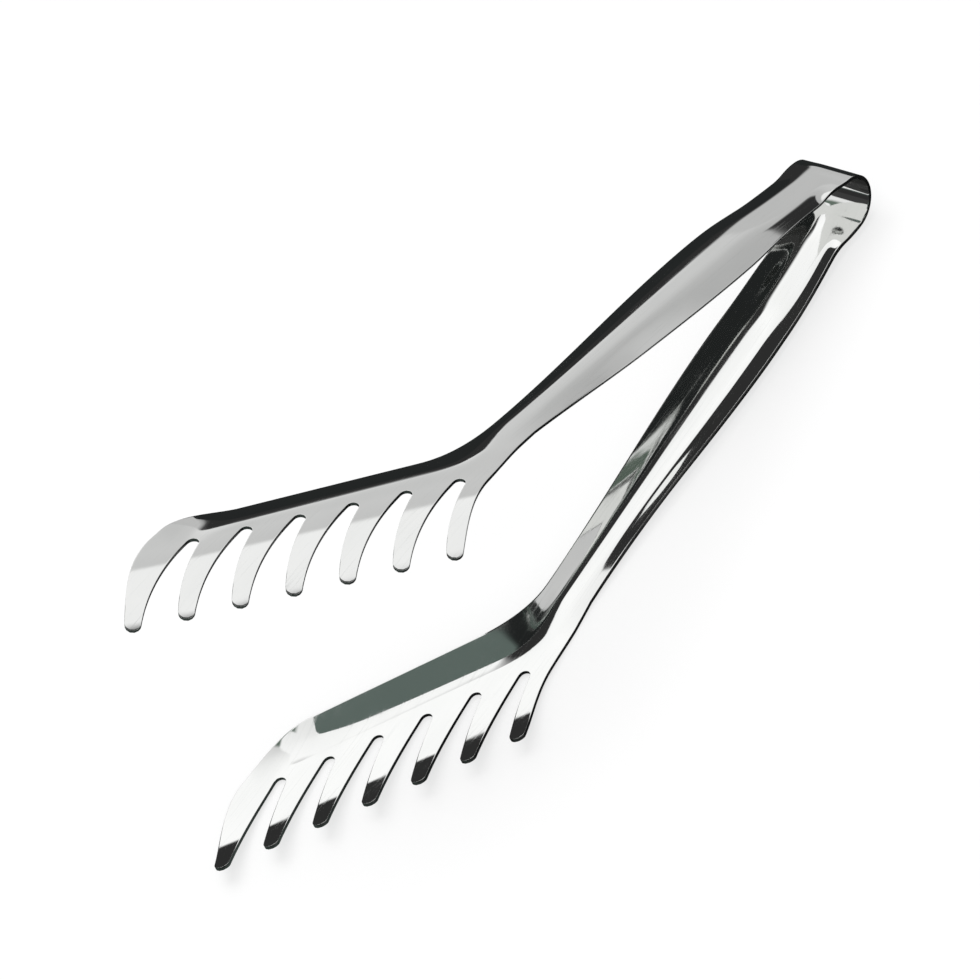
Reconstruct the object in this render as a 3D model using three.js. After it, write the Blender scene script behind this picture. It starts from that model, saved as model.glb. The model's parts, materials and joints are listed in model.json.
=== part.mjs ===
// Spaghetti tongs: one strip of polished steel, folded into a bow, with a pressed grip and a comb at each end
// Millimetres, +Z up. Let go and open, they lie on the lower arm's back, with the origin under their middle
import * as THREE from "three";
import { ConvexHull } from "three/addons/math/ConvexHull.js";

// Strip and bow
const stripThickness = 1.0;
const bowRadius = 7.7;
const bowWidth = 19.6;
const openAngle = 9.7;
const seamGap = 0.3;

// Grip: a channel whose edges turn in towards the other arm
const waistWidth = 17.4;
const waistAt = 9;
const gripWidth = 21.4;
const gripAt = 47;
const neckWidth = 13.8;
const neckAt = 133;
const channelStart = 5;
const channelFull = 24;
const riseFull = 40;
const riseRound = 0.25;
const farFull = 6;
const farLeast = 0.45;
const gripDepth = 2.6;
const neckDepth = 2.5;
const gripRise = 2.4;
const neckRise = 0.8;
const flangeShare = 0.81;
const bendShare = 0.4;

// Near edge of the grip: a narrow lip by the bow, which widens to the flange and runs out at the neck
const lipFull = 13;
const lipWidth = 4.8;
const lipDepth = 1.5;
const lipBend = 0.25;
const lipFrom = 18;
const lipTo = 44;
const nearFrom = 88;
const nearTo = 152;

// Head: the back edge bends away from the grip's line and closes in a round end
const headTurn = 39;
const turnRadius = 34.5;
const backLength = 49.7;
const endRadius = 34.3;
const backDepth = 3.66;
const backWidth = 12.4;
const backBend = 0.36;
const backFade = 20;
const fadeLead = 2;

// Comb: the slots' round tops lie on one line, and the fingers' tips on another
const fingerCount = 7;
const firstSlotU = 158.4;
const firstSlotZ = 3.0;
const fingerPitch = 13.9;
const combAngle = 41.6;
const slotRadius = 1.7;
const fingerReachU = 22.8;
const fingerReachZ = 14.2;
const tipRadius = 2.15;
const slotFarAngle = 3.7;
const slotNearAngle = 15.8;
const tipNearAngle = 27;
const tipFarAngle = 34;
const nearEdgeAngle = 5.2;

// Curl: how far the palm and the fingers lean in
const palmReach = 9;
const palmBend = 6;
const palmSlope = 0;
const tipSlope = 0.42;

// How finely the sheet is divided
const gripStations = 28;
const stationPower = 1.3;
const neckStations = 7;
const backRows = 9;
const rootRows = 3;
const palmGap = 1;
const fingerColumns = 4;
const slotColumns = 4;
const fingerRows = 7;
const bowSteps = 28;
const neckShare = 0.16;
const backEndTurn = -97;
const slopeStep = 0.02;

const radians = THREE.MathUtils.degToRad;
const smoothstep = THREE.MathUtils.smoothstep;
const lerp = THREE.MathUtils.lerp;
const heading = (degrees) => new THREE.Vector2(Math.cos(radians(degrees)), Math.sin(radians(degrees)));
const along = (point, degrees, distance) => point.clone().addScaledVector(heading(degrees), distance);

// Lines that the head is laid out on, in the arm's flat plan: u from the bow to the tips, z across the strip
const combStep = heading(-combAngle).multiplyScalar(fingerPitch);
const combNormal = heading(90 - combAngle);
const firstSlot = new THREE.Vector2(firstSlotU, firstSlotZ);
const slotTop = (k) => firstSlot.clone().addScaledVector(combStep, k);
const slotCentre = (k) => along(slotTop(k), (slotFarAngle + slotNearAngle) / 2, slotRadius);
const tipEnd = (k) => slotTop(k).add(new THREE.Vector2(fingerReachU, fingerReachZ));
const tipCentre = (k) => along(tipEnd(k), (tipNearAngle + tipFarAngle) / 2, -tipRadius);

const turnCentre = new THREE.Vector2(neckAt, -neckWidth / 2 - turnRadius);
const backStart = along(turnCentre, 90 - headTurn, turnRadius);
const backEnd = along(backStart, -headTurn, backLength);
const endCentre = along(backEnd, 90 - headTurn, endRadius);
const nearStart = new THREE.Vector2(neckAt, neckWidth / 2);

// Half of the grip's width at a place along the arm: it narrows behind the bow and swells in the hand
function gripHalfWidth(u) {
  const swell = lerp(waistWidth, gripWidth, smoothstep(u, 0, gripAt));
  const flare = (bowWidth - waistWidth) * (1 - smoothstep(u, 0, waistAt));
  const taper = smoothstep(u, gripAt, neckAt);
  return lerp(swell + flare, neckWidth, taper) / 2;
}

// A straight climb from 0 to 1 whose foot and top are rounded over a share of its length
function ramp(u, low, high, rounded) {
  const share = THREE.MathUtils.clamp((u - low) / (high - low), 0, 1);
  const fromEnd = Math.min(share, 1 - share);
  const arc = (fromEnd * fromEnd) / (2 * rounded * (1 - rounded));
  const climb = fromEnd < rounded ? arc : (fromEnd - rounded / 2) / (1 - rounded);
  return share < 0.5 ? climb : 1 - climb;
}

// Distance of a plan point from the back edge: the grip's far edge, the neck's arc, a line and the end's arc
function backDistance(p) {
  if (p.x < neckAt) return p.y + gripHalfWidth(p.x);
  const fromTurn = p.clone().sub(turnCentre);
  if (Math.atan2(fromTurn.x, fromTurn.y) < radians(headTurn)) return fromTurn.length() - turnRadius;
  const fromEnd = p.clone().sub(endCentre);
  if (fromEnd.dot(heading(-headTurn)) < 0) return p.clone().sub(backStart).dot(heading(90 - headTurn));
  return endRadius - fromEnd.length();
}

// Distance of a plan point from the near edge: the grip's near edge and the first finger's straight edge
function nearDistance(p) {
  if (p.x < neckAt) return gripHalfWidth(p.x) - p.y;
  return p.clone().sub(nearStart).dot(heading(nearEdgeAngle - 90));
}

// Inward fall of an edge that turns in: a rounded bend, then a straight flange
function turnedEdge(distance, width, depth, share) {
  const inside = Math.max(width - distance, 0);
  const bend = share * width;
  const slope = depth / (width - bend / 2);
  if (inside < bend) return (slope * inside * inside) / (2 * bend);
  return slope * (inside - bend / 2);
}

// Inward fall of the palm and the fingers, by the distance in front of the comb's ridge
function curl(p) {
  const q = p.clone().sub(firstSlot).dot(combNormal) + palmReach;
  const tip = tipEnd(0).sub(firstSlot).dot(combNormal) + palmReach;
  if (q <= 0) return 0;
  if (q < palmBend) return (palmSlope * q * q) / (2 * palmBend);
  const rise = ((tipSlope - palmSlope) * (q - palmBend) ** 2) / (2 * (tip - palmBend));
  return palmSlope * (q - palmBend / 2) + rise;
}

// Fall of the back edge: the grip's far flange, then the head's wider one, which runs out along the end's arc
function backFall(p) {
  const toNeck = smoothstep(p.x, channelFull, neckAt);
  const turned = smoothstep(p.x, neckAt, backStart.x);
  const progress = p.clone().sub(backEnd).dot(heading(-headTurn));
  const ending = 1 - smoothstep(progress, -fadeLead, backFade);
  if (p.x < neckAt) {
    const pressedIn = smoothstep(p.x, 0, farFull) * lerp(farLeast, 1, smoothstep(p.x, 0, channelFull));
    const gripFall = pressedIn * lerp(gripDepth, neckDepth, toNeck);
    return turnedEdge(backDistance(p), flangeShare * gripHalfWidth(p.x), gripFall * ending, bendShare);
  }
  const width = lerp((flangeShare * neckWidth) / 2, backWidth, turned);
  const headFall = lerp(neckDepth, backDepth, turned);
  return turnedEdge(backDistance(p), width, headFall * ending, lerp(bendShare, backBend, turned));
}

// Fall of the near edge
function nearFall(p) {
  const toNeck = smoothstep(p.x, channelFull, neckAt);
  const width = flangeShare * gripHalfWidth(Math.min(p.x, neckAt));
  const depth = lerp(gripDepth, neckDepth, toNeck) * (1 - smoothstep(p.x, nearFrom, nearTo));
  const flange = turnedEdge(nearDistance(p), width, depth, bendShare);
  const lip = turnedEdge(nearDistance(p), lipWidth, lipDepth, lipBend);
  return smoothstep(p.x, channelStart, lipFull) * lerp(lip, flange, smoothstep(p.x, lipFrom, lipTo));
}

// Height of the middle of the sheet over the arm's plane, outwards
function height(p) {
  const toNeck = smoothstep(p.x, channelFull, neckAt);
  const ridge = ramp(p.x, channelStart, riseFull, riseRound) * lerp(gripRise, neckRise, toNeck);
  const toComb = p.clone().sub(firstSlot).dot(combNormal);
  const rise = ridge * (1 - smoothstep(toComb, -palmReach, 1));
  return rise - backFall(p) - nearFall(p) - curl(p);
}

// Outward normal of the middle of the sheet, from the slope on either side
function sheetNormal(p) {
  const at = (du, dz) => height(new THREE.Vector2(p.x + du, p.y + dz));
  const alongArm = at(slopeStep, 0) - at(-slopeStep, 0);
  const acrossArm = at(0, slopeStep) - at(0, -slopeStep);
  return new THREE.Vector3(-alongArm, 2 * slopeStep, -acrossArm).normalize();
}

// The arm's plan as a list of points and of four-sided faces
function armPlan() {
  const points = [];
  const quads = [];
  const add = (p) => points.push(p) - 1;
  const join = (left, right) => {
    for (let j = 0; j + 1 < left.length; j++) {
      quads.push([left[j], left[j + 1], right[j + 1], right[j]]);
    }
  };
  let lastColumn = null;
  const addColumn = (places) => {
    const column = places.map(add);
    if (lastColumn) join(lastColumn, column);
    lastColumn = column;
    return column.at(-1);
  };

  // Grip, from the bow to the neck
  const sheetRows = backRows + rootRows;
  const gripShare = (j) => (1 - Math.cos((Math.PI * j) / sheetRows)) / 2;
  const gripShares = Array.from({ length: sheetRows + 1 }, (_, j) => gripShare(j));
  for (let i = 0; i <= gripStations; i++) {
    const u = lerp(seamGap / 2, neckAt, (i / gripStations) ** stationPower);
    const half = gripHalfWidth(u);
    addColumn(gripShares.map((share) => new THREE.Vector2(u, lerp(-half, half, share))));
  }

  // The back edge as a path, from the neck to the last finger
  const back = new THREE.Path();
  back.moveTo(neckAt, -neckWidth / 2);
  back.absarc(turnCentre.x, turnCentre.y, turnRadius, radians(90), radians(90 - headTurn), true);
  back.lineTo(backEnd.x, backEnd.y);
  back.absarc(endCentre.x, endCentre.y, endRadius, radians(-90 - headTurn), radians(backEndTurn), false);

  // Where the fingers leave the palm, and the palm line behind them, on which the head's columns turn
  const nearRoot = (k) => along(slotCentre(k - 1), slotFarAngle - 90, slotRadius);
  const farRoot = (k) => along(slotCentre(k), slotNearAngle + 90, slotRadius);
  const rootLine = along(slotCentre(0), slotNearAngle + 90, slotRadius);
  const toNear = nearStart.clone().sub(rootLine).cross(heading(nearEdgeAngle));
  const fromLine = heading(180 - combAngle).cross(heading(nearEdgeAngle));
  const firstRoot = along(rootLine, 180 - combAngle, toNear / fromLine);
  const lastRoot = along(endCentre, slotFarAngle - 90, endRadius);
  const lastPalm = lastRoot.clone().lerp(back.getPoint(1), 0.5);
  const slotWay = heading((slotFarAngle + slotNearAngle) / 2 + 180);
  const firstWay = back.getPoint(neckShare).sub(firstRoot).normalize();
  const palmDepth = slotCentre(0).dot(combNormal) - slotRadius - palmGap;
  const onPalm = (p, way) => {
    const distance = (palmDepth - p.dot(combNormal)) / way.dot(combNormal);
    return p.clone().addScaledVector(way, distance);
  };

  // Roots of the fingers and tops of the slots, one for each column of the head
  const roots = [];
  for (let k = 0; k < fingerCount; k++) {
    const last = k === fingerCount - 1;
    const near = k ? nearRoot(k) : firstRoot;
    const far = last ? lastRoot : farRoot(k);
    for (let c = 0; c <= fingerColumns; c++) {
      const share = c / fingerColumns;
      const root = near.clone().lerp(far, share);
      const way = k ? slotWay : firstWay.clone().lerp(slotWay, share);
      const palm = last ? onPalm(near, slotWay).lerp(lastPalm, share) : onPalm(root, way);
      roots.push({ finger: k, root, palm });
    }
    for (let c = 1; c < slotColumns && !last; c++) {
      const turn = lerp(slotNearAngle + 90, slotFarAngle + 270, c / slotColumns);
      const root = along(slotCentre(k), turn, slotRadius);
      roots.push({ finger: -1, root, palm: onPalm(root, slotWay) });
    }
  }
  const headColumn = (onBack, palm, root) => {
    const places = [];
    for (let j = 0; j < backRows; j++) {
      places.push(onBack.clone().lerp(palm, 1 - Math.cos((Math.PI * j) / (2 * backRows))));
    }
    for (let j = 0; j <= rootRows; j++) places.push(palm.clone().lerp(root, j / rootRows));
    return places;
  };

  // Neck
  const firstBack = back.getPoint(neckShare);
  const firstColumn = headColumn(firstBack, roots[0].palm, firstRoot);
  const headShares = firstColumn.map((p) => p.distanceTo(firstBack) / firstRoot.distanceTo(firstBack));
  for (let i = 1; i < neckStations; i++) {
    const share = i / neckStations;
    const onBack = back.getPoint(neckShare * share);
    const near = nearStart.clone().lerp(firstRoot, share);
    const shares = gripShares.map((s, j) => lerp(s, headShares[j], smoothstep(share, 0, 1)));
    addColumn(shares.map((s) => onBack.clone().lerp(near, s)));
  }

  // Palm
  const fingers = Array.from({ length: fingerCount }, () => []);
  const progress = (palm) => palm.clone().sub(roots[0].palm).dot(heading(-combAngle));
  roots.forEach(({ finger, root, palm }) => {
    const share = progress(palm) / progress(lastPalm);
    const index = addColumn(headColumn(back.getPoint(lerp(neckShare, 1, share)), palm, root));
    if (finger >= 0) fingers[finger].push(index);
  });

  // Fingers, row by row from the root to the round tip
  fingers.forEach((root, k) => {
    const nearFrom = points[root[0]];
    const farFrom = points[root.at(-1)];
    const nearTo = along(tipCentre(k), tipNearAngle + 90, tipRadius);
    const farTo = along(tipCentre(k), tipFarAngle - 90, tipRadius);
    const nearEdge = edgeCurve(nearFrom, k ? slotFarAngle : nearEdgeAngle, nearTo, tipNearAngle);
    const farAngle = k < fingerCount - 1 ? slotNearAngle : slotFarAngle;
    const farEdge = edgeCurve(farFrom, farAngle, farTo, tipFarAngle);
    let last = root;
    for (let r = 1; r <= fingerRows; r++) {
      const share = r / (fingerRows + 0.5);
      const a = nearEdge.getPoint(share);
      const b = farEdge.getPoint(share);
      const row = root.map((_, c) => add(a.clone().lerp(b, c / fingerColumns)));
      join(row, last);
      last = row;
    }
    const tip = root.map((_, c) => {
      const turn = lerp(tipNearAngle + 90, tipFarAngle - 90, c / fingerColumns);
      return add(along(tipCentre(k), turn, tipRadius));
    });
    join(tip, last);
  });
  return { points, quads };
}

// One edge of a finger, leaving the root and reaching the tip at given angles
function edgeCurve(from, fromAngle, to, toAngle) {
  const third = from.distanceTo(to) / 3;
  return new THREE.CubicBezierCurve(from, along(from, fromAngle, third), along(to, toAngle, -third), to);
}

// A closed sheet from points on its middle, their outward normals and faces, walled in along its free edges
function sheetGeometry(middle, normals, quads, mirrored) {
  const count = middle.length;
  const positions = [];
  for (const side of [0.5, -0.5]) {
    middle.forEach((m, i) => {
      const v = m.clone().addScaledVector(normals[i], side * stripThickness);
      positions.push(v.x, mirrored ? -v.y : v.y, v.z);
    });
  }
  const triangles = [];
  const free = new Map();
  for (const q of quads) {
    const [a, b, c, d] = q;
    triangles.push([a, b, c], [a, c, d]);
    triangles.push([c + count, b + count, a + count], [d + count, c + count, a + count]);
    q.forEach((from, i) => {
      const to = q[(i + 1) % 4];
      if (!free.delete(to + "," + from)) free.set(from + "," + to, [from, to]);
    });
  }
  for (const [from, to] of free.values()) {
    triangles.push([to, from, from + count], [to, from + count, to + count]);
  }
  const geometry = new THREE.BufferGeometry();
  geometry.setAttribute("position", new THREE.Float32BufferAttribute(positions, 3));
  geometry.setIndex(triangles.flatMap((t) => (mirrored ? [t[0], t[2], t[1]] : t)));
  geometry.computeVertexNormals();
  return geometry;
}

// One arm, in its own plane with the hinge line at the origin
function armGeometry(mirrored) {
  const { points, quads } = armPlan();
  const middle = points.map((p) => new THREE.Vector3(p.x, height(p), p.y));
  return sheetGeometry(middle, points.map(sheetNormal), quads, mirrored);
}

// The bow: the flat strip bent round, between the two arms
function bowGeometry() {
  const trim = seamGap / 2 / bowRadius;
  const from = radians(90 + openAngle) + trim;
  const to = radians(270 - openAngle) - trim;
  const middle = [];
  const normals = [];
  const quads = [];
  for (let i = 0; i <= bowSteps; i++) {
    const turn = lerp(from, to, i / bowSteps);
    const out = new THREE.Vector3(Math.cos(turn), Math.sin(turn), 0);
    for (const z of [-bowWidth / 2, bowWidth / 2]) {
      middle.push(out.clone().multiplyScalar(bowRadius).setZ(z));
      normals.push(out);
    }
    if (i) quads.push([2 * i - 2, 2 * i, 2 * i + 1, 2 * i - 1]);
  }
  return sheetGeometry(middle, normals, quads, false);
}

const polishedSteel = new THREE.MeshStandardMaterial({ color: 0xc9cbc9, roughness: 0.12, metalness: 1 });

const tongs = new THREE.Group();
const springBow = new THREE.Mesh(bowGeometry(), polishedSteel);
springBow.name = "spring_bow";
tongs.add(springBow);

for (const side of [-1, 1]) {
  const arm = new THREE.Mesh(armGeometry(side < 0), polishedSteel);
  arm.name = side < 0 ? "upper_arm" : "lower_arm";
  const open = heading(90 + openAngle).multiplyScalar(bowRadius);
  arm.position.set(open.x, side * open.y, 0);
  arm.rotation.z = side * radians(openAngle);
  tongs.add(arm);
}

// Centre of mass of the even sheet, from the middles of its faces
function balancePoint(group) {
  const sum = new THREE.Vector3();
  let area = 0;
  for (const node of group.children) {
    const place = node.geometry.getAttribute("position");
    const index = node.geometry.getIndex();
    const at = (i) => new THREE.Vector3().fromBufferAttribute(place, index.getX(i));
    const corner = (i) => at(i).applyMatrix4(node.matrixWorld);
    for (let i = 0; i < index.count; i += 3) {
      const face = new THREE.Triangle(corner(i), corner(i + 1), corner(i + 2));
      const share = face.getArea();
      sum.addScaledVector(face.getMidpoint(new THREE.Vector3()), share);
      area += share;
    }
  }
  return sum.divideScalar(area);
}

// Put the tongs down on the lower arm's back, and let them roll over their hull until they lie still
tongs.updateMatrixWorld(true);
const balance = balancePoint(tongs);
const hull = new ConvexHull().setFromObject(tongs);
const faceDepth = (face) => face.constant - face.normal.dot(balance);
function faceUnder(down) {
  const facing = hull.faces.filter((face) => face.normal.dot(down) > 0);
  const reach = (face) => faceDepth(face) / face.normal.dot(down);
  return facing.reduce((best, face) => (reach(face) < reach(best) ? face : best));
}
let base = faceUnder(new THREE.Vector3(0, 1, 0));
let next = faceUnder(base.normal);
while (faceDepth(next) < faceDepth(base)) {
  base = next;
  next = faceUnder(base.normal);
}
const upward = base.normal.clone().negate();
const toBow = new THREE.Vector3(-1, 0, 0).projectOnPlane(upward).normalize();
const across = upward.clone().cross(toBow);
tongs.quaternion.setFromRotationMatrix(new THREE.Matrix4().makeBasis(toBow, across, upward).transpose());
tongs.updateMatrixWorld(true);
const box = new THREE.Box3().setFromObject(tongs, true);
const centre = box.getCenter(new THREE.Vector3());
tongs.position.set(-centre.x, -centre.y, -box.min.z);
tongs.updateMatrixWorld(true);

// Places that the record states
const size = box.getSize(new THREE.Vector3());
console.log("size mm", size.toArray().map((n) => n.toFixed(2)).join(" "));
for (const node of tongs.children) {
  const p = new THREE.Vector3().setFromMatrixPosition(node.matrixWorld);
  console.log(node.name, "hinge mm", p.toArray().map((n) => n.toFixed(3)).join(" "));
}
// How far each arm can turn in before the fingertips meet, with half of the seam's gap left to the middle
const restReach = bowRadius * Math.cos(radians(openAngle)) - seamGap / 2;
const armPlaces = tongs.getObjectByName("lower_arm").geometry.getAttribute("position");
let closedAngle = -Infinity;
for (let i = 0; i < armPlaces.count; i++) {
  const reach = Math.hypot(armPlaces.getX(i), armPlaces.getY(i));
  if (reach < bowRadius * 4) continue;
  const least = Math.asin(-restReach / reach) - Math.atan2(armPlaces.getY(i), armPlaces.getX(i));
  closedAngle = Math.max(closedAngle, least);
}
console.log("closing deg", (openAngle - (closedAngle * 180) / Math.PI).toFixed(3));
const hingeAxis = new THREE.Vector3(0, 0, 1).transformDirection(tongs.matrixWorld);
console.log("hinge axis", hingeAxis.toArray().map((n) => n.toFixed(5)).join(" "));

const part = new THREE.Group();
part.add(tongs);
export default part;
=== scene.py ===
import json
import math

import bmesh
import bpy
from mathutils import Matrix, Vector


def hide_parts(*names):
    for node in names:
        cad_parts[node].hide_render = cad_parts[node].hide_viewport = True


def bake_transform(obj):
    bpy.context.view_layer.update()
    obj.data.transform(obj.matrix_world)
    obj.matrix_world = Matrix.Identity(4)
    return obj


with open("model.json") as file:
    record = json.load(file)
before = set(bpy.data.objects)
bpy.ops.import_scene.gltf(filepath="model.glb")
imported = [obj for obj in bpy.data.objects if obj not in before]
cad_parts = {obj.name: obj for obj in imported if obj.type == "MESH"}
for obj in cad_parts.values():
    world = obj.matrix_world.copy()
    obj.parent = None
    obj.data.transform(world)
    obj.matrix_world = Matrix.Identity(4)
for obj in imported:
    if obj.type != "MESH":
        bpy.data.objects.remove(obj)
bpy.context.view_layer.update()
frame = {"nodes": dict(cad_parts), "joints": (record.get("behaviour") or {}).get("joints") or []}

bpy.ops.object.select_all(action="DESELECT")
print("frame loaded:", ", ".join(sorted(frame["nodes"])))

millimetre = 0.001
scene = bpy.context.scene
scene.view_settings.view_transform = "Standard"

# The strip, in millimetres, and the bow that it is folded round
strip = {"thickness": 1.0, "bowRadius": 7.7, "bowWidth": 19.6, "openAngle": 9.7}
# The pressed channel of the grip
grip = {
    "waistWidth": 17.4, "waistAt": 9.0, "width": 21.4, "widestAt": 47.0, "neckWidth": 13.8, "neckAt": 133.0,
    "channelFull": 24.0, "riseFull": 40.0, "riseRound": 0.25,
    "farFull": 24.0, "farLeast": 0.45, "bowFade": 8.0,
    "depth": 2.6, "neckDepth": 2.5, "rise": 2.4, "neckRise": 0.8, "flangeShare": 0.81, "bendShare": 0.4,
    "nearStart": 4.0, "nearFull": 13.0, "nearFade": (88.0, 152.0),
    "lipWidth": 4.8, "lipDepth": 1.5, "lipBend": 0.25, "lipEnd": (18.0, 44.0),
}
# The head's back edge
head = {
    "turn": 39.0, "turnRadius": 34.5, "backLength": 49.7, "endRadius": 34.3,
    "depth": 3.66, "width": 12.4, "bendShare": 0.36, "fade": (-2.0, 20.0), "endTurn": 32.0, "neckShare": 0.16,
}
# The comb of fingers
comb = {
    "fingers": 7, "firstSlot": (158.4, 3.0), "pitch": 13.9, "angle": 41.6,
    "slotRadius": 1.7, "reach": (22.8, 14.2), "tipRadius": 2.15,
    "slotFar": 3.7, "slotNear": 15.8, "tipNear": 27.0, "tipFar": 34.0, "nearEdge": 5.2,
    "palmGap": 1.0,
}
# How the palm and the fingers curl in
curl = {"palmReach": 9.0, "bendStart": 6.0, "tipSlope": 0.42}
# How finely the sheet is divided, and how its cut edges are rounded
sheet = {
    "bowColumns": 40, "gripColumns": 112, "neckColumns": 22, "fingerColumns": 9,
    "slotColumns": 8, "rows": 28, "fingerRows": 22, "rootRows": 7, "edgeMargin": 0.34,
    "edgeRound": 0.17, "roundSteps": 3, "sharpAngle": 50.0, "seamStep": 0.02, "tipRoundFrom": 0.6,
}


def heading(degrees):
    return Vector((math.cos(math.radians(degrees)), math.sin(math.radians(degrees))))


def smooth(x, low, high):
    share = min(max((x - low) / (high - low), 0.0), 1.0)
    return share * share * (3.0 - 2.0 * share)


def mix(a, b, share):
    return a + (b - a) * share


# A straight climb from 0 to 1 whose foot and top are rounded over a share of its length
def ramp(x, length, rounded):
    share = min(max(x / length, 0.0), 1.0)
    fromEnd = min(share, 1.0 - share)
    climb = (fromEnd - rounded / 2.0) / (1.0 - rounded)
    if fromEnd < rounded:
        climb = fromEnd * fromEnd / (2.0 * rounded * (1.0 - rounded))
    return climb if share < 0.5 else 1.0 - climb


# Lines of the flat plan: x from the bow to the tips, y across the strip
combStep = heading(-comb["angle"]) * comb["pitch"]
combNormal = heading(90.0 - comb["angle"])
firstSlot = Vector(comb["firstSlot"])
turnCentre = Vector((grip["neckAt"], -grip["neckWidth"] / 2.0 - head["turnRadius"]))
backStart = turnCentre + heading(90.0 - head["turn"]) * head["turnRadius"]
backEnd = backStart + heading(-head["turn"]) * head["backLength"]
endCentre = backEnd + heading(90.0 - head["turn"]) * head["endRadius"]
nearStart = Vector((grip["neckAt"], grip["neckWidth"] / 2.0))
bowArc = strip["bowRadius"] * math.radians(90.0 - strip["openAngle"])


def slotTop(k):
    return firstSlot + combStep * k


def slotCentre(k):
    return slotTop(k) + heading((comb["slotFar"] + comb["slotNear"]) / 2.0) * comb["slotRadius"]


def tipEnd(k):
    return slotTop(k) + Vector(comb["reach"])


def tipCentre(k):
    return tipEnd(k) - heading((comb["tipNear"] + comb["tipFar"]) / 2.0) * comb["tipRadius"]


def halfWidth(x):
    swell = mix(grip["waistWidth"], grip["width"], smooth(x, 0.0, grip["widestAt"]))
    flare = (strip["bowWidth"] - grip["waistWidth"]) * (1.0 - smooth(x, 0.0, grip["waistAt"]))
    return mix(swell + flare, grip["neckWidth"], smooth(x, grip["widestAt"], grip["neckAt"])) / 2.0


# Distance of a plan point from the back edge
def fromBack(p):
    if p.x < grip["neckAt"]:
        return p.y + halfWidth(p.x)
    turned = p - turnCentre
    if math.atan2(turned.x, turned.y) < math.radians(head["turn"]):
        return turned.length - head["turnRadius"]
    ended = p - endCentre
    if ended.dot(heading(-head["turn"])) < 0.0:
        return (p - backStart).dot(heading(90.0 - head["turn"]))
    return head["endRadius"] - ended.length


# Distance of a plan point from the near edge
def fromNear(p):
    if p.x < grip["neckAt"]:
        return halfWidth(p.x) - p.y
    return (p - nearStart).dot(heading(comb["nearEdge"] - 90.0))


# Fall of an edge that turns in: a rounded bend, then a straight flange
def turnedEdge(distance, width, depth, bendShare):
    inside = max(width - distance, 0.0)
    bend = bendShare * width
    slope = depth / (width - bend / 2.0)
    return slope * inside * inside / (2.0 * bend) if inside < bend else slope * (inside - bend / 2.0)


# Fall of the palm and the fingers in front of the comb's ridge
def curlFall(p):
    q = (p - firstSlot).dot(combNormal) + curl["palmReach"] - curl["bendStart"]
    tip = (tipEnd(0) - firstSlot).dot(combNormal) + curl["palmReach"] - curl["bendStart"]
    return curl["tipSlope"] * max(q, 0.0) ** 2 / (2.0 * tip)


# How far the far edge is turned in at a place along the strip; it runs out round the bow
def farShare(x):
    if x < 0.0:
        return grip["farLeast"] * (1.0 - smooth(-x, 0.0, grip["bowFade"]))
    return mix(grip["farLeast"], 1.0, smooth(x, 0.0, grip["farFull"]))


# Fall of the near edge, which is a steeper lip by the bow and ends at the comb
def nearEdgeFall(p, fall):
    width = grip["flangeShare"] * halfWidth(min(p.x, grip["neckAt"]))
    pressedIn = smooth(p.x, grip["nearStart"], grip["nearFull"])
    ending = 1.0 - smooth(p.x, *grip["nearFade"])
    flange = turnedEdge(fromNear(p), width, fall * ending, grip["bendShare"])
    lip = turnedEdge(fromNear(p), grip["lipWidth"], grip["lipDepth"], grip["lipBend"])
    return pressedIn * mix(lip, flange, smooth(p.x, *grip["lipEnd"]))


# Height of the pressed sheet over its flat plan, outwards
def pressedHeight(p):
    toNeck = smooth(p.x, grip["channelFull"], grip["neckAt"])
    gripFall = mix(grip["depth"], grip["neckDepth"], toNeck)
    width, bendShare = grip["flangeShare"] * halfWidth(p.x), grip["bendShare"]
    backFall = gripFall * farShare(p.x)
    if p.x > grip["neckAt"]:
        turned = smooth(p.x, grip["neckAt"], backStart.x)
        width = mix(grip["flangeShare"] * grip["neckWidth"] / 2.0, head["width"], turned)
        bendShare = mix(grip["bendShare"], head["bendShare"], turned)
        backFall = mix(grip["neckDepth"], head["depth"], turned)
    progress = (p - backEnd).dot(heading(-head["turn"]))
    backFall *= 1.0 - smooth(progress, *head["fade"])
    ridge = ramp(p.x, grip["riseFull"], grip["riseRound"]) * mix(grip["rise"], grip["neckRise"], toNeck)
    rise = ridge * (1.0 - smooth((p - firstSlot).dot(combNormal), -curl["palmReach"], 1.0))
    backEdge = turnedEdge(fromBack(p), width, backFall, bendShare)
    return rise - backEdge - nearEdgeFall(p, gripFall) - curlFall(p)


# A plan point pressed into shape, and wrapped round the bow where it lies behind the hinge line
def pressed(p):
    height = pressedHeight(p)
    turn = max(-p.x, 0.0) / strip["bowRadius"]
    outward = Vector((-math.sin(turn), math.cos(turn), 0.0))
    onBow = outward * (strip["bowRadius"] + height) - Vector((0.0, strip["bowRadius"], 0.0))
    return onBow + Vector((max(p.x, 0.0), 0.0, p.y))


# A point of the head's back edge, by its share of the way from the neck to the last finger
def backPoint(share):
    turnLength = head["turnRadius"] * math.radians(head["turn"])
    endLength = head["endRadius"] * math.radians(head["endTurn"])
    way = share * (turnLength + head["backLength"] + endLength)
    if way < turnLength:
        return turnCentre + heading(90.0 - math.degrees(way / head["turnRadius"])) * head["turnRadius"]
    way -= turnLength
    if way < head["backLength"]:
        return backStart + heading(-head["turn"]) * way
    way -= head["backLength"]
    turned = math.degrees(way / head["endRadius"])
    return endCentre + heading(-90.0 - head["turn"] + turned) * head["endRadius"]


# Places across a width: one line close to each edge, the rest closer together near the edges
def spread(count, length):
    margin = sheet["edgeMargin"] / length
    inner = [(1.0 - math.cos(math.pi * i / (count - 2))) / 2.0 for i in range(count - 1)]
    return [0.0] + [mix(margin, 1.0 - margin, s) for s in inner] + [1.0]


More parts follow.
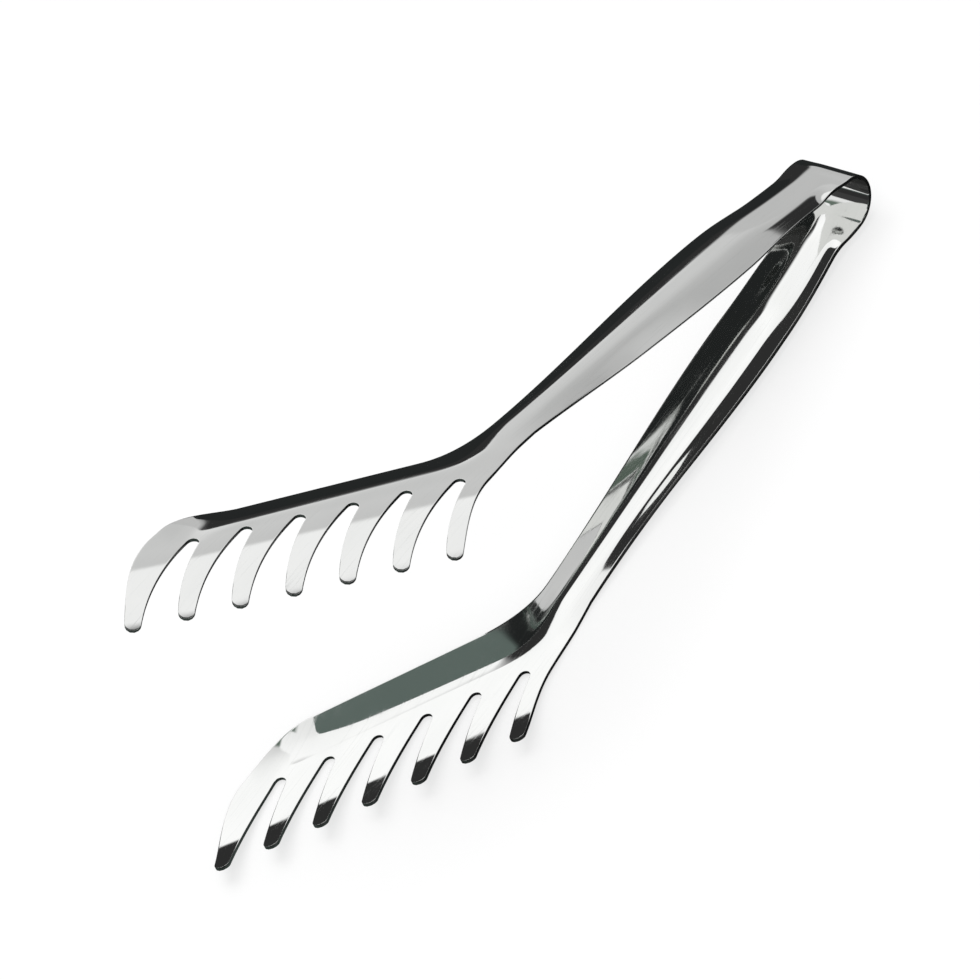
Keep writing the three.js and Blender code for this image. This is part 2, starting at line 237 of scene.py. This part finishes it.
# Places from an edge inwards, closer together near the edge
def spreadFrom(count, length):
    margin = sheet["edgeMargin"] / length
    inner = [1.0 - math.cos(math.pi * i / (count - 1) / 2.0) for i in range(count)]
    return [0.0] + [mix(margin, 1.0, s) for s in inner]


# A column of the head: from the back edge to the palm line, then to a finger's root or a slot's top
def headColumn(back, palm, root):
    backRows = sheet["rows"] - sheet["rootRows"] - 1
    lower = [back.lerp(palm, s) for s in spreadFrom(backRows, (palm - back).length)]
    upper = [root.lerp(palm, s) for s in spreadFrom(sheet["rootRows"], (palm - root).length)]
    return lower + upper[-2::-1]


# Roots of the fingers and tops of the slots, each with its finger and its place on the palm line behind them
def combRoots():
    slotWay = heading((comb["slotFar"] + comb["slotNear"]) / 2.0 + 180.0)
    rootLine = slotCentre(0) + heading(comb["slotNear"] + 90.0) * comb["slotRadius"]
    lineWay = heading(180.0 - comb["angle"])
    edgeWay = heading(comb["nearEdge"])
    cross = lambda a, b: a.x * b.y - a.y * b.x
    firstRoot = rootLine + lineWay * (cross(nearStart - rootLine, edgeWay) / cross(lineWay, edgeWay))
    lastRoot = endCentre + heading(comb["slotFar"] - 90.0) * head["endRadius"]
    palmDepth = slotCentre(0).dot(combNormal) - comb["slotRadius"] - comb["palmGap"]
    firstWay = (backPoint(head["neckShare"]) - firstRoot).normalized()
    lastPalm = lastRoot.lerp(backPoint(1.0), 0.5)
    onPalm = lambda root, way: root + way * ((palmDepth - root.dot(combNormal)) / way.dot(combNormal))
    roots = []
    for k in range(comb["fingers"]):
        last = k == comb["fingers"] - 1
        near = slotCentre(k - 1) + heading(comb["slotFar"] - 90.0) * comb["slotRadius"] if k else firstRoot
        far = lastRoot if last else slotCentre(k) + heading(comb["slotNear"] + 90.0) * comb["slotRadius"]
        places = spread(sheet["fingerColumns"], (far - near).length)
        for share in places:
            root = near.lerp(far, share)
            palm = onPalm(root, slotWay if k else firstWay.lerp(slotWay, share))
            roots.append((k, root, onPalm(near, slotWay).lerp(lastPalm, share) if last else palm))
        for c in range(1, 1 if last else sheet["slotColumns"]):
            turn = mix(comb["slotNear"] + 90.0, comb["slotFar"] + 270.0, c / sheet["slotColumns"])
            root = slotCentre(k) + heading(turn) * comb["slotRadius"]
            roots.append((None, root, onPalm(root, slotWay)))
    return roots


# The columns of the flat blank from its back edge to its near edge, and the columns of each finger
def blankColumns():
    columns = []
    bowSteps = [-bowArc, -bowArc + sheet["seamStep"]]
    bowSteps += [-bowArc * (1.0 - i / sheet["bowColumns"]) for i in range(1, sheet["bowColumns"])]
    gripSteps = [grip["neckAt"] * i / sheet["gripColumns"] for i in range(sheet["gripColumns"] + 1)]
    for x in bowSteps + gripSteps:
        shares = spread(sheet["rows"] - 1, 2.0 * halfWidth(x))
        columns.append([Vector((x, mix(-halfWidth(x), halfWidth(x), share))) for share in shares])

    roots = combRoots()
    firstRoot, firstPalm = roots[0][1:]
    firstBack = backPoint(head["neckShare"])
    firstColumn = headColumn(firstBack, firstPalm, firstRoot)
    headShares = [(place - firstBack).length / (firstRoot - firstBack).length for place in firstColumn]
    for i in range(1, sheet["neckColumns"]):
        share = i / sheet["neckColumns"]
        back, near = backPoint(head["neckShare"] * share), nearStart.lerp(firstRoot, share)
        gripShares = spread(sheet["rows"] - 1, (near - back).length)
        toHead = smooth(share, 0.0, 1.0)
        columns.append([back.lerp(near, mix(a, b, toHead)) for a, b in zip(gripShares, headShares)])

    fingers = [[] for _ in range(comb["fingers"])]
    lineWay = heading(-comb["angle"])
    length = (roots[-1][2] - firstPalm).dot(lineWay)
    for k, root, palm in roots:
        if k is not None:
            fingers[k].append(len(columns))
        progress = (palm - firstPalm).dot(lineWay) / length
        columns.append(headColumn(backPoint(mix(head["neckShare"], 1.0, progress)), palm, root))
    return columns, fingers


# One edge of a finger, leaving its root and reaching its tip at given angles
def fingerEdge(start, startAngle, end, endAngle, share):
    third = (end - start).length / 3.0
    a = start + heading(startAngle) * third
    b = end - heading(endAngle) * third
    rest = 1.0 - share
    aShare = 3.0 * rest * rest * share
    bShare = 3.0 * rest * share * share
    return start * rest ** 3 + a * aShare + b * bShare + end * share ** 3


# The points of one row of a finger; the rows grow round towards its tip
def fingerRow(k, row, near, far):
    nearTip = tipCentre(k) + heading(comb["tipNear"] + 90.0) * comb["tipRadius"]
    farTip = tipCentre(k) + heading(comb["tipFar"] - 90.0) * comb["tipRadius"]
    last = sheet["fingerRows"] - 1
    inside = 1.0 - sheet["edgeMargin"] / (farTip - far).length
    share = 1.0 if row == last else inside * (row + 1.0) / last
    nearAngle = comb["slotFar"] if k else comb["nearEdge"]
    farAngle = comb["slotNear"] if k < comb["fingers"] - 1 else comb["slotFar"]
    a = fingerEdge(near, nearAngle, nearTip, comb["tipNear"], share)
    b = fingerEdge(far, farAngle, farTip, comb["tipFar"], share)
    roundness = smooth(share, sheet["tipRoundFrom"], inside)
    points = []
    for s in spread(sheet["fingerColumns"], (a - b).length):
        turn = mix(comb["tipNear"] + 90.0, comb["tipFar"] - 90.0, s)
        onTip = tipCentre(k) + heading(turn) * comb["tipRadius"]
        points.append(a.lerp(b, s) + (onTip - nearTip.lerp(farTip, s)) * roundness)
    return points


# Grows the fingers out of the blank by extruding their ends row by row
def growFingers(blank, plan, fingers, rowCount):
    ends = [[(rowCount - 1) * len(plan) + c for c in columns] for columns in fingers]
    rootPair = [(plan[columns[0]][-1], plan[columns[-1]][-1]) for columns in fingers]
    bpy.ops.object.mode_set(mode="EDIT")
    bpy.ops.mesh.select_mode(type="EDGE")
    for row in range(sheet["fingerRows"]):
        mesh = bmesh.from_edit_mesh(blank.data)
        mesh.verts.ensure_lookup_table()
        bpy.ops.mesh.select_all(action="DESELECT")
        for end in ends:
            for a, b in zip(end, end[1:]):
                mesh.edges.get((mesh.verts[a], mesh.verts[b])).select_set(True)
        bmesh.update_edit_mesh(blank.data)
        bpy.ops.mesh.extrude_edges_move(TRANSFORM_OT_translate={"value": (millimetre, 0.0, 0.0)})
        mesh = bmesh.from_edit_mesh(blank.data)
        mesh.verts.ensure_lookup_table()
        grown = {}
        for vertex in mesh.verts:
            if vertex.select:
                for edge in vertex.link_edges:
                    other = edge.other_vert(vertex)
                    if not other.select:
                        grown[other.index] = vertex.index
        for k, end in enumerate(ends):
            places = fingerRow(k, row, *rootPair[k])
            ends[k] = [grown[index] for index in end]
            for index, place in zip(ends[k], places):
                mesh.verts[index].co = Vector((place.x, place.y, 0.0)) * millimetre
        bmesh.update_edit_mesh(blank.data)
    bpy.ops.object.mode_set(mode="OBJECT")


# The flat blank of half of the tongs: a grid laid out to the plan, with its fingers drawn out
def makeBlank(name):
    plan, fingers = blankColumns()
    rowCount = sheet["rows"]
    bpy.ops.mesh.primitive_grid_add(x_subdivisions=len(plan) - 1, y_subdivisions=rowCount - 1, size=1.0)
    blank = bpy.context.object
    blank.name = name
    for i, vertex in enumerate(blank.data.vertices):
        place = plan[i % len(plan)][i // len(plan)]
        vertex.co = Vector((place.x, place.y, 0.0)) * millimetre
    growFingers(blank, plan, fingers, rowCount)
    return blank


# Keeps the flat plan as the piece's own map, so that the polish follows the strip
def mapFlat(blank):
    layer = blank.data.uv_layers.active or blank.data.uv_layers.new(name="flatPlan")
    layer.name = "flatPlan"
    for loop in blank.data.loops:
        place = blank.data.vertices[loop.vertex_index].co
        layer.data[loop.index].uv = (place.x / millimetre, place.y / millimetre)


def pressBlank(blank):
    for vertex in blank.data.vertices:
        vertex.co = pressed(Vector((vertex.co.x, vertex.co.y)) / millimetre) * millimetre


def applyModifier(piece, kind, **values):
    modifier = piece.modifiers.new(kind.lower(), kind)
    for key, value in values.items():
        setattr(modifier, key, value)
    bpy.ops.object.modifier_apply(modifier=modifier.name)


# Thickens the sheet and rounds its cut edges, apart from the plain end in the middle of the bow
def thicken(piece):
    applyModifier(piece, "SOLIDIFY", thickness=strip["thickness"] * millimetre, offset=0.0,
                  use_even_offset=True, use_quality_normals=True, material_offset_rim=1)
    bpy.ops.object.mode_set(mode="EDIT")
    bpy.ops.mesh.select_mode(type="EDGE")
    bpy.ops.mesh.select_all(action="SELECT")
    bpy.ops.mesh.normals_make_consistent(inside=False)
    bpy.ops.mesh.select_all(action="DESELECT")
    bpy.ops.mesh.edges_select_sharp(sharpness=math.radians(sheet["sharpAngle"]))
    mesh = bmesh.from_edit_mesh(piece.data)
    turn = bowArc / strip["bowRadius"]
    middle = Vector((-math.sin(turn), math.cos(turn) - 1.0, 0.0)) * strip["bowRadius"] * millimetre
    alongEnd = Vector((-math.cos(turn), -math.sin(turn), 0.0))
    nearEnd = sheet["seamStep"] * millimetre / 2.0
    for edge in mesh.edges:
        if edge.select and all(abs((v.co - middle).dot(alongEnd)) < nearEnd for v in edge.verts):
            edge.select_set(False)
    bmesh.update_edit_mesh(piece.data)
    bpy.ops.mesh.bevel(offset=sheet["edgeRound"] * millimetre, segments=sheet["roundSteps"], profile=0.5,
                       affect="EDGES", clamp_overlap=True)
    bpy.ops.object.mode_set(mode="OBJECT")
    bpy.ops.object.shade_smooth()


# Where the tongs lie in the frame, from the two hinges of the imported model
joints = {j["name"]: j for j in frame["joints"]}
upperHinge = Vector(joints["squeeze_upper"]["pos_m"])
lowerHinge = Vector(joints["squeeze_lower"]["pos_m"])
acrossStrip = Vector(joints["squeeze_upper"]["axis"]).normalized()
toLower = lowerHinge - upperHinge
toLower = (toLower - acrossStrip * toLower.dot(acrossStrip)).normalized()
toTips = toLower.cross(acrossStrip)
openTurn = math.radians(strip["openAngle"])
bowCentre = (upperHinge + lowerHinge) / 2.0 + toTips * (strip["bowRadius"] * millimetre * math.sin(openTurn))
tongsFrame = Matrix((toTips, toLower, acrossStrip)).transposed().to_4x4()
tongsFrame.translation = bowCentre
armPlace = Matrix.Rotation(openTurn, 4, "Z")
bowEnd = Vector((-math.sin(openTurn), math.cos(openTurn), 0.0))
armPlace.translation = bowEnd * strip["bowRadius"] * millimetre


# Lays a finished half in its place, with the piece's own origin left at the frame's
def layHalf(piece, mirrored):
    flip = Matrix.Diagonal((1.0, -1.0 if mirrored else 1.0, 1.0, 1.0))
    piece.data.transform(tongsFrame @ flip @ armPlace)
    if mirrored:
        piece.data.flip_normals()
    piece.data.update()


def select(piece):
    bpy.ops.object.select_all(action="DESELECT")
    piece.select_set(True)
    bpy.context.view_layer.objects.active = piece


lowerHalf = makeBlank("lower_half")
mapFlat(lowerHalf)
print("blank cut:", len(lowerHalf.data.polygons), "faces")
pressBlank(lowerHalf)

# Polished steel, and the duller steel of the cut edges
polishedSteel = bpy.data.materials.new("polishedSteel")
cutSteel = bpy.data.materials.new("cutSteel")
for material in (polishedSteel, cutSteel):
    material.use_nodes = True
    lowerHalf.data.materials.append(material)
select(lowerHalf)
thicken(lowerHalf)
bpy.ops.object.duplicate()
upperHalf = bpy.context.object
upperHalf.name = "upper_half"
layHalf(lowerHalf, False)
layHalf(upperHalf, True)
print("halves pressed:", len(lowerHalf.data.polygons), "faces each")

# Each half is baked in place, and its arm and the spring bow of the imported model are hidden
halves = ((upperHalf, "upper_arm", upperHinge, -1.0), (lowerHalf, "lower_arm", lowerHinge, 1.0))
for piece, arm, hinge, side in halves:
    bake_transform(piece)
    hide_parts(arm, "spring_bow")


def addNode(tree, kind, **settings):
    node = tree.nodes.new(kind)
    for key, value in settings.items():
        setattr(node, key, value)
    return node


# Sets an input to a number or links it to another node's output
def feed(tree, socket, value):
    if isinstance(value, bpy.types.NodeSocket):
        tree.links.new(value, socket)
    else:
        socket.default_value = value


def calculate(tree, operation, *values):
    node = addNode(tree, "ShaderNodeMath", operation=operation)
    for socket, value in zip(node.inputs, values):
        feed(tree, socket, value)
    return node.outputs[0]


def between(tree, value, low, high, toLow=0.0, toHigh=1.0):
    node = addNode(tree, "ShaderNodeMapRange", interpolation_type="SMOOTHSTEP")
    for socket, number in zip(node.inputs, (value, low, high, toLow, toHigh)):
        feed(tree, socket, number)
    return node.outputs[0]


def mixColours(tree, share, first, second):
    node = addNode(tree, "ShaderNodeMix", data_type="RGBA")
    feed(tree, node.inputs[0], share)
    feed(tree, node.inputs[6], first)
    feed(tree, node.inputs[7], second)
    return node.outputs[2]


def noise(tree, place, turn, stretch, detail, scale=1.0):
    mapping = addNode(tree, "ShaderNodeMapping")
    feed(tree, mapping.inputs["Vector"], place)
    mapping.inputs["Rotation"].default_value = (0.0, 0.0, math.radians(turn))
    mapping.inputs["Scale"].default_value = (stretch[0], stretch[1], 1.0)
    texture = addNode(tree, "ShaderNodeTexNoise", noise_dimensions="2D")
    feed(tree, texture.inputs["Vector"], mapping.outputs[0])
    feed(tree, texture.inputs["Scale"], scale)
    texture.inputs["Detail"].default_value = detail
    return texture.outputs["Fac"]


def newGroup(name, inputs, outputs):
    group = bpy.data.node_groups.new(name, "ShaderNodeTree")
    for socketName, kind in inputs:
        group.interface.new_socket(name=socketName, in_out="INPUT", socket_type=kind)
    for socketName, kind in outputs:
        group.interface.new_socket(name=socketName, in_out="OUTPUT", socket_type=kind)
    return group, addNode(group, "NodeGroupInput").outputs, addNode(group, "NodeGroupOutput").inputs


# Marks in the steel: a noise is its turn, its stretch on the flat plan and its detail
markSettings = {
    "lines": (0.0, (0.035, 2.6), 4.0), "lineHeight": 0.16,
    "waves": (12.0, (0.10, 0.16), 1.0), "waveHeight": 2.4,
    "scratchTurns": (24.0, -37.0, 71.0), "scratchStretch": (0.03, 1.7), "scratchDetail": 2.0,
    "scratchRange": (0.66, 0.72), "scratchHeight": -0.12, "scratchTone": 0.4,
    "smudges": (30.0, (0.07, 0.09), 5.0), "smudgeRange": (0.42, 0.70),
    "tones": (-20.0, (0.05, 0.12), 3.0), "toneRange": (0.30, 0.70), "toneShare": 0.35,
}


# Marks that polishing and use leave in steel, on the flat plan in millimetres
def makePolishMarks():
    inputs = (("Plan", "NodeSocketVector"), ("Line scale", "NodeSocketFloat"))
    outputs = [(name, "NodeSocketFloat") for name in ("Height", "Scratches", "Smudges")]
    group, given, made = newGroup("polishMarks", inputs, outputs)
    plan = given["Plan"]
    lines = noise(group, plan, *markSettings["lines"], given["Line scale"])
    waves = noise(group, plan, *markSettings["waves"])
    scratches = []
    for turn in markSettings["scratchTurns"]:
        scratch = noise(group, plan, turn, markSettings["scratchStretch"], markSettings["scratchDetail"])
        scratches.append(between(group, scratch, *markSettings["scratchRange"]))
    strongest = scratches[0]
    for scratch in scratches[1:]:
        strongest = calculate(group, "MAXIMUM", strongest, scratch)
    height = calculate(group, "MULTIPLY", waves, markSettings["waveHeight"])
    height = calculate(group, "MULTIPLY_ADD", lines, markSettings["lineHeight"], height)
    height = calculate(group, "MULTIPLY_ADD", strongest, markSettings["scratchHeight"], height)
    feed(group, made["Height"], height)
    feed(group, made["Scratches"], strongest)
    smudges = noise(group, plan, *markSettings["smudges"])
    feed(group, made["Smudges"], between(group, smudges, *markSettings["smudgeRange"]))
    return group


# A colour with slow changes of tone and a darkening by a mask
def makeSteelTone():
    inputs = (("Plan", "NodeSocketVector"), ("Colour", "NodeSocketColor"),
              ("Dark colour", "NodeSocketColor"), ("Mask", "NodeSocketFloat"))
    group, given, made = newGroup("steelTone", inputs, (("Colour", "NodeSocketColor"),))
    tone = noise(group, given["Plan"], *markSettings["tones"])
    darker = between(group, tone, *markSettings["toneRange"], 0.0, markSettings["toneShare"])
    toned = mixColours(group, darker, given["Colour"], given["Dark colour"])
    feed(group, made["Colour"], mixColours(group, given["Mask"], toned, given["Dark colour"]))
    return group


polishMarks = makePolishMarks()
steelTone = makeSteelTone()

# Finishes: the mirror polish of the sheet, and the duller cut edge
finishes = {
    "polished": {"colour": (0.845, 0.85, 0.84, 1.0), "dark": (0.79, 0.80, 0.79, 1.0), "lineScale": 1.0,
                 "roughness": (0.035, 0.075), "scratchRoughness": 0.05, "bump": 0.0000022},
    "cut": {"colour": (0.24, 0.24, 0.235, 1.0), "dark": (0.15, 0.15, 0.15, 1.0), "lineScale": 2.4,
            "roughness": (0.26, 0.40), "scratchRoughness": 0.08, "bump": 0.000012},
}


def finishSteel(material, finish):
    tree = material.node_tree
    shader = tree.nodes["Principled BSDF"]
    plan = addNode(tree, "ShaderNodeUVMap", uv_map="flatPlan").outputs["UV"]
    marks = addNode(tree, "ShaderNodeGroup", node_tree=polishMarks)
    feed(tree, marks.inputs["Plan"], plan)
    marks.inputs["Line scale"].default_value = finish["lineScale"]
    tone = addNode(tree, "ShaderNodeGroup", node_tree=steelTone)
    feed(tree, tone.inputs["Plan"], plan)
    tone.inputs["Colour"].default_value = finish["colour"]
    tone.inputs["Dark colour"].default_value = finish["dark"]
    mask = calculate(tree, "MULTIPLY", marks.outputs["Scratches"], markSettings["scratchTone"])
    feed(tree, tone.inputs["Mask"], mask)
    feed(tree, shader.inputs["Base Color"], tone.outputs["Colour"])
    shader.inputs["Metallic"].default_value = 1.0
    low, high = finish["roughness"]
    dulled = calculate(tree, "MULTIPLY_ADD", marks.outputs["Smudges"], high - low, low)
    feed(tree, shader.inputs["Roughness"],
         calculate(tree, "MULTIPLY_ADD", marks.outputs["Scratches"], finish["scratchRoughness"], dulled))
    bump = addNode(tree, "ShaderNodeBump")
    bump.inputs["Strength"].default_value = 1.0
    bump.inputs["Distance"].default_value = finish["bump"]
    feed(tree, bump.inputs["Height"], marks.outputs["Height"])
    feed(tree, shader.inputs["Normal"], bump.outputs["Normal"])


finishSteel(polishedSteel, finishes["polished"])
finishSteel(cutSteel, finishes["cut"])
print("steel finished")

# The camera, turned about its own line of sight as the picture was
cameraSettings = {
    "azimuth": -34.4003, "elevation": 44.8405, "roll": 28.8509, "distance": 2.5,
    "aim": (-0.008535, 0.001245, 0.030566), "lens": 353.8, "sensor": 36.0, "clipEnd": 100.0,
}


def makeCamera():
    a, e = math.radians(cameraSettings["azimuth"]), math.radians(cameraSettings["elevation"])
    back = Vector((math.sin(a) * math.cos(e), -math.cos(a) * math.cos(e), math.sin(e)))
    bpy.ops.object.camera_add(location=Vector(cameraSettings["aim"]) + back * cameraSettings["distance"])
    camera = bpy.context.object
    upright = (-back).to_track_quat("-Z", "Y").to_matrix()
    roll = Matrix.Rotation(-math.radians(cameraSettings["roll"]), 3, "Z")
    camera.rotation_euler = (upright @ roll).to_euler()
    camera.data.lens = cameraSettings["lens"]
    camera.data.sensor_width = cameraSettings["sensor"]
    camera.data.clip_end = cameraSettings["clipEnd"]
    scene.camera = camera


makeCamera()
print("camera placed")

# The studio that the steel mirrors, as greys and heights by heading: a dark rail, walls and a ceiling
greenWall = (0.14, 0.18, 0.15)
studio = {
    "rail": ((-180.0, 0.16), (-140.0, 0.03), (-12.0, 0.03), (0.0, 0.30), (70.0, 0.40), (86.0, 0.50),
             (90.0, 0.03), (101.0, 0.03), (104.5, 0.55), (128.5, 0.58), (131.0, 0.03), (180.0, 0.03)),
    "lowWalls": ((-180.0, 0.75), (-150.0, 0.6), (-140.0, 0.05), (-12.0, 0.05), (0.0, 0.8), (36.0, 0.7),
                 (79.0, 0.62), (92.0, 0.50), (104.0, 0.54), (112.0, 0.56), (127.0, 0.68), (136.0, 1.0),
                 (146.0, 1.15), (180.0, 0.75)),
    "highWalls": ((-180.0, 0.75), (-177.0, greenWall), (-150.0, greenWall), (-140.0, 0.9), (-74.0, 0.9),
                  (-66.0, 0.05), (-12.0, 0.05), (0.0, 0.62), (80.0, 0.60), (96.0, 0.68), (104.0, 1.0),
                  (136.0, 1.0), (146.0, 1.15), (180.0, 0.75)),
    "ceiling": ((-180.0, 1.05), (-140.0, 0.9), (-125.0, 0.05), (-20.0, 0.05), (-5.0, 0.8), (64.0, 0.62),
                (70.0, 0.17), (79.0, 0.03), (143.0, 0.03), (148.5, 1.12), (180.0, 1.05)),
    "railTop": ((-180.0, 0.295), (78.0, 0.295), (84.0, 0.53), (91.5, 0.53), (94.0, 0.475), (104.0, 0.475),
                (110.0, 0.295), (149.0, 0.295), (156.0, 0.43), (168.0, 0.43), (176.0, 0.295), (180.0, 0.295)),
    "ceilingFoot": ((-180.0, 0.85), (-163.0, 0.85), (-159.0, 0.935), (-74.0, 0.935), (-64.0, 0.86),
                    (40.0, 0.86), (96.0, 0.885), (108.0, 0.872), (116.0, 0.845), (124.0, 0.80),
                    (134.0, 0.79), (146.0, 0.80), (160.0, 0.86), (180.0, 0.86)),
    "wallChange": (0.575, 0.61), "railSoft": 0.014, "footSoft": 0.012,
}


# A tone that changes with the heading: a grey, or a colour
def byHeading(tree, turn, stops):
    gradient = addNode(tree, "ShaderNodeValToRGB")
    elements = gradient.color_ramp.elements
    colours = [(*tone, 1.0) if isinstance(tone, tuple) else (tone, tone, tone, 1.0) for _, tone in stops]
    elements[0].color = colours[0]
    elements[1].color = colours[-1]
    for (degrees, _), colour in zip(stops[1:-1], colours[1:-1]):
        elements.new(degrees / 360.0 + 0.5).color = colour
    tree.links.new(turn, gradient.inputs["Fac"])
    return gradient.outputs["Color"]


def makeStudio():
    world = bpy.data.worlds.new("studio")
    scene.world = world
    world.use_nodes = True
    tree = world.node_tree
    background = tree.nodes["Background"]
    direction = addNode(tree, "ShaderNodeSeparateXYZ")
    tree.links.new(addNode(tree, "ShaderNodeTexCoord").outputs["Generated"], direction.inputs[0])
    x, y, z = direction.outputs
    angle = calculate(tree, "ARCTAN2", x, calculate(tree, "MULTIPLY", y, -1.0))
    turn = calculate(tree, "MULTIPLY_ADD", angle, 0.5 / math.pi, 0.5)
    bands = ("rail", "lowWalls", "highWalls", "ceiling", "railTop", "ceilingFoot")
    stops = {band: byHeading(tree, turn, studio[band]) for band in bands}
    over = {}
    for edge, soft in (("railTop", studio["railSoft"]), ("ceilingFoot", studio["footSoft"])):
        over[edge] = between(tree, calculate(tree, "SUBTRACT", z, stops[edge]), -soft, soft)
    walls = mixColours(tree, between(tree, z, *studio["wallChange"]), stops["lowWalls"], stops["highWalls"])
    low = mixColours(tree, over["railTop"], stops["rail"], walls)
    whole = mixColours(tree, over["ceilingFoot"], low, stops["ceiling"])
    seen = addNode(tree, "ShaderNodeLightPath").outputs["Is Camera Ray"]
    tree.links.new(mixColours(tree, seen, whole, (1.0, 1.0, 1.0, 1.0)), background.inputs["Color"])


makeStudio()

# The pale floor: white to the camera but for the shadow. To the steel it glows with a painted reflection: a
# pale patch of painted light, near-black painted shade round it for the shade under the tongs, and grey-green
# further left
floorSettings = {
    "size": 8.0, "colour": (0.82, 0.82, 0.82, 1.0), "cameraGlow": 0.72, "paintedShadow": (0.02, 0.022, 0.022, 1.0),
    "paintedReflectionLeft": (0.145, 0.185, 0.17, 1.0), "sheet": (0.90, 0.90, 0.89, 1.0),
    "low": (0.0, -0.02), "high": (0.132, 0.09), "soft": 0.012, "left": (-0.12, -0.06),
}


def makeFloor():
    bpy.ops.mesh.primitive_plane_add(size=floorSettings["size"])
    floor = bpy.context.object
    floor.name = "floor"
    material = bpy.data.materials.new("paleFloor")
    material.use_nodes = True
    floor.data.materials.append(material)
    tree = material.node_tree
    tree.nodes.remove(tree.nodes["Principled BSDF"])
    place = addNode(tree, "ShaderNodeSeparateXYZ")
    tree.links.new(addNode(tree, "ShaderNodeTexCoord").outputs["Object"], place.inputs[0])
    inside = 1.0
    for axis, low, high in zip(place.outputs, floorSettings["low"], floorSettings["high"]):
        soft = floorSettings["soft"]
        inside = calculate(tree, "MULTIPLY", inside, between(tree, axis, low - soft, low + soft))
        inside = calculate(tree, "MULTIPLY", inside, between(tree, axis, high - soft, high + soft, 1.0, 0.0))
    path = addNode(tree, "ShaderNodeLightPath")
    matte = addNode(tree, "ShaderNodeBsdfDiffuse")
    matte.inputs["Color"].default_value = floorSettings["colour"]
    # To glossy rays the floor glows: painted light on the pale patch, near-black painted shade outside it,
    # grey-green painted reflection to the left
    mirrored = addNode(tree, "ShaderNodeEmission")
    toLeft = between(tree, place.outputs[0], *floorSettings["left"])
    paintedShadow = mixColours(tree, toLeft, floorSettings["paintedReflectionLeft"], floorSettings["paintedShadow"])
    tree.links.new(mixColours(tree, inside, paintedShadow, floorSettings["sheet"]), mirrored.inputs["Color"])
    white = addNode(tree, "ShaderNodeEmission")
    toSteel = addNode(tree, "ShaderNodeMixShader")
    toCamera = addNode(tree, "ShaderNodeMixShader")
    tree.links.new(path.outputs["Is Glossy Ray"], toSteel.inputs[0])
    tree.links.new(matte.outputs[0], toSteel.inputs[1])
    tree.links.new(mirrored.outputs[0], toSteel.inputs[2])
    glow = calculate(tree, "MULTIPLY", path.outputs["Is Camera Ray"], floorSettings["cameraGlow"])
    tree.links.new(glow, toCamera.inputs[0])
    tree.links.new(toSteel.outputs[0], toCamera.inputs[1])
    tree.links.new(white.outputs[0], toCamera.inputs[2])
    tree.links.new(toCamera.outputs[0], tree.nodes["Material Output"].inputs["Surface"])


makeFloor()

# Soft lamps overhead, which only light the floor: the steel mirrors the walls
lamps = (
    {"name": "overheadLamp", "place": (0.1, 0.3, 1.6), "size": 1.6, "power": 22.0},
    {"name": "sideLamp", "place": (-0.9, -0.8, 1.3), "size": 1.2, "power": 9.0},
)
for lamp in lamps:
    place = Vector(lamp["place"])
    bpy.ops.object.light_add(type="AREA", location=place, rotation=place.to_track_quat("Z", "Y").to_euler())
    light = bpy.context.object
    light.name = lamp["name"]
    light.data.shape = "DISK"
    light.data.size = lamp["size"]
    light.data.energy = lamp["power"]
    light.visible_glossy = False
print("studio, floor and lamps set")
